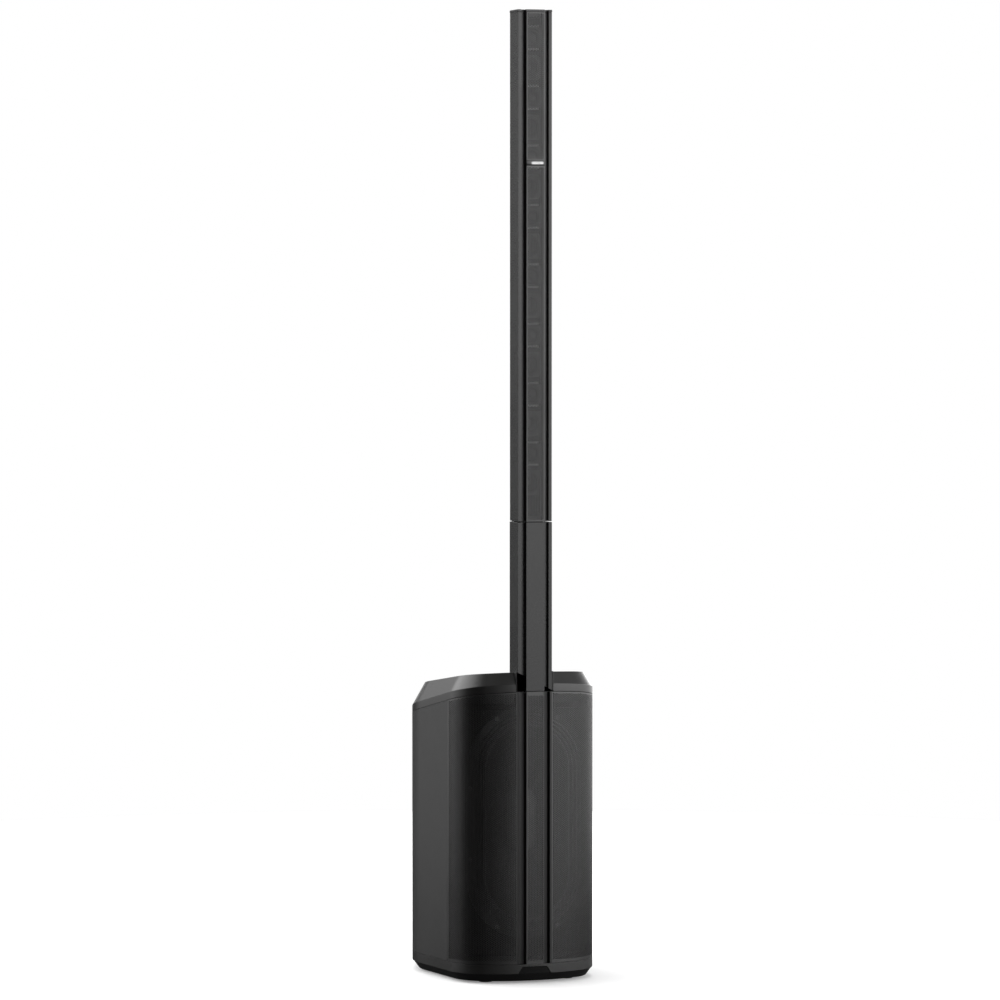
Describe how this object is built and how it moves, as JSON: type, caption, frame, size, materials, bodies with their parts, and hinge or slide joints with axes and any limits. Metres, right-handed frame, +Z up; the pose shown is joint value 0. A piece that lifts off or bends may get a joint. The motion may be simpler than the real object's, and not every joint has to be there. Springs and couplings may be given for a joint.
{
  "type": "column pa system",
  "caption": "Portable column loudspeaker: a powered base with an upright racetrack woofer, a plug-in riser and a slim array of small drivers on top.",
  "frame": {"origin": "middle of the footprint, on the floor", "axes": "+X to the right seen from the front, +Y to the rear, +Z up along the column"},
  "size_m": [0.355, 0.455, 2.011],
  "materials": {
    "housing_plastic": "fine satin mould texture",
    "lid_plastic": "semi-gloss moulding",
    "skirt_plastic": "matt moulding",
    "grille_steel": "powder-coated perforated sheet",
    "foot_rubber": "matt rubber",
    "baffle_board": "board painted black",
    "column_shell": "satin with fine vertical lines",
    "connector_plastic": "glass-filled plastic",
    "jack_metal": "black plated shell",
    "contact_brass": "gold plated",
    "badge_black": "polished black",
    "driver_steel": "black painted pressing",
    "basket_steel": "powder coat",
    "motor_steel": "turned and blackened",
    "surround_rubber": "moulded rolls",
    "spider_cloth": "resin-dipped cloth",
    "cone_paper": "coated pulp",
    "coil_copper": "wound wire",
    "screw_steel": "black oxide",
    "chassis_steel": "zinc plated",
    "heatsink_aluminium": "black anodised",
    "board_laminate": "green solder mask",
    "ring_light": "diffusing ring",
    "knob_rubber": "soft-touch",
    "button_plastic": "fine texture"
  },
  "bodies": {
    "base": {"cabinet_shell": "housing_plastic", "front_baffle": "baffle_board", "bass_grille": "grille_steel", "top_lid": "lid_plastic", "carry_handle": "housing_plastic", "bottom_trim_band": "lid_plastic", "base_skirt": "skirt_plastic", "rubber_feet": "foot_rubber", "column_socket": "housing_plastic", "socket_contacts": "contact_brass", "woofer_basket": "basket_steel", "woofer_magnet": "motor_steel", "woofer_surround": "surround_rubber", "woofer_spider": "spider_cloth", "woofer_screws": "screw_steel", "rear_panel": "housing_plastic", "panel_screws": "screw_steel", "amplifier_chassis": "chassis_steel", "heatsink": "heatsink_aluminium", "mixer_board": "board_laminate", "power_supply": "board_laminate", "mains_inlet": "connector_plastic", "combo_jack_1": "jack_metal", "combo_jack_2": "jack_metal", "channel_3_jacks": "jack_metal", "line_output_jack": "jack_metal", "mixer_port": "connector_plastic", "knob_light_rings": "ring_light"},
    "woofer_motion": {"woofer_cone": "cone_paper", "voice_coil": "coil_copper"},
    "knob_1": {"channel_knob_1": "knob_rubber"},
    "knob_2": {"channel_knob_2": "knob_rubber"},
    "knob_3": {"channel_knob_3": "knob_rubber"},
    "eq_key": {"system_eq_button": "button_plastic"},
    "pair_key": {"pair_button": "button_plastic"},
    "power_key": {"power_button": "button_plastic"},
    "extension": {"extension_body": "column_shell", "extension_socket": "connector_plastic", "extension_plug": "connector_plastic"},
    "array": {"array_housing": "column_shell", "array_grille": "grille_steel", "array_top_cap": "column_shell", "array_plug": "connector_plastic", "badge_plate": "badge_black", "array_driver_01": "driver_steel", "array_driver_02": "driver_steel", "array_driver_03": "driver_steel", "array_driver_04": "driver_steel", "array_driver_05": "driver_steel", "array_driver_06": "driver_steel", "array_driver_07": "driver_steel", "array_driver_08": "driver_steel", "array_driver_09": "driver_steel", "array_driver_10": "driver_steel", "array_driver_11": "driver_steel", "array_driver_12": "driver_steel", "array_driver_13": "driver_steel", "array_driver_14": "driver_steel", "array_driver_15": "driver_steel", "array_driver_16": "driver_steel"}
  },
  "joints": [
    {"name": "extension_lift", "type": "slide", "parent": "base", "child": "extension", "axis": [0, 0, 1], "range_m": [0, 0.12]},
    {"name": "array_lift", "type": "slide", "parent": "extension", "child": "array", "axis": [0, 0, 1], "range_m": [0, 0.1]},
    {"name": "woofer_travel", "type": "slide", "parent": "base", "child": "woofer_motion", "axis": [0, 1, 0], "range_m": [-0.008, 0.008], "stiffness_N_per_m": 3000, "deforming": ["woofer_surround", "woofer_spider"]},
    {"name": "knob_1_turn", "type": "hinge", "parent": "base", "child": "knob_1", "pos_m": [0.048, 0.2125, 0.436], "axis": [0, 1, 0], "continuous": true},
    {"name": "knob_2_turn", "type": "hinge", "parent": "base", "child": "knob_2", "pos_m": [0, 0.2125, 0.436], "axis": [0, 1, 0], "continuous": true},
    {"name": "knob_3_turn", "type": "hinge", "parent": "base", "child": "knob_3", "pos_m": [-0.048, 0.2125, 0.436], "axis": [0, 1, 0], "continuous": true},
    {"name": "eq_key_press", "type": "slide", "parent": "base", "child": "eq_key", "axis": [0, -1, 0], "range_m": [0, 0.0015], "stiffness_N_per_m": 200, "springref_m": -0.002},
    {"name": "pair_key_press", "type": "slide", "parent": "base", "child": "pair_key", "axis": [0, -1, 0], "range_m": [0, 0.0015], "stiffness_N_per_m": 200, "springref_m": -0.002},
    {"name": "power_key_press", "type": "slide", "parent": "base", "child": "power_key", "axis": [0, -1, 0], "range_m": [0, 0.0015], "stiffness_N_per_m": 200, "springref_m": -0.002}
  ]
}
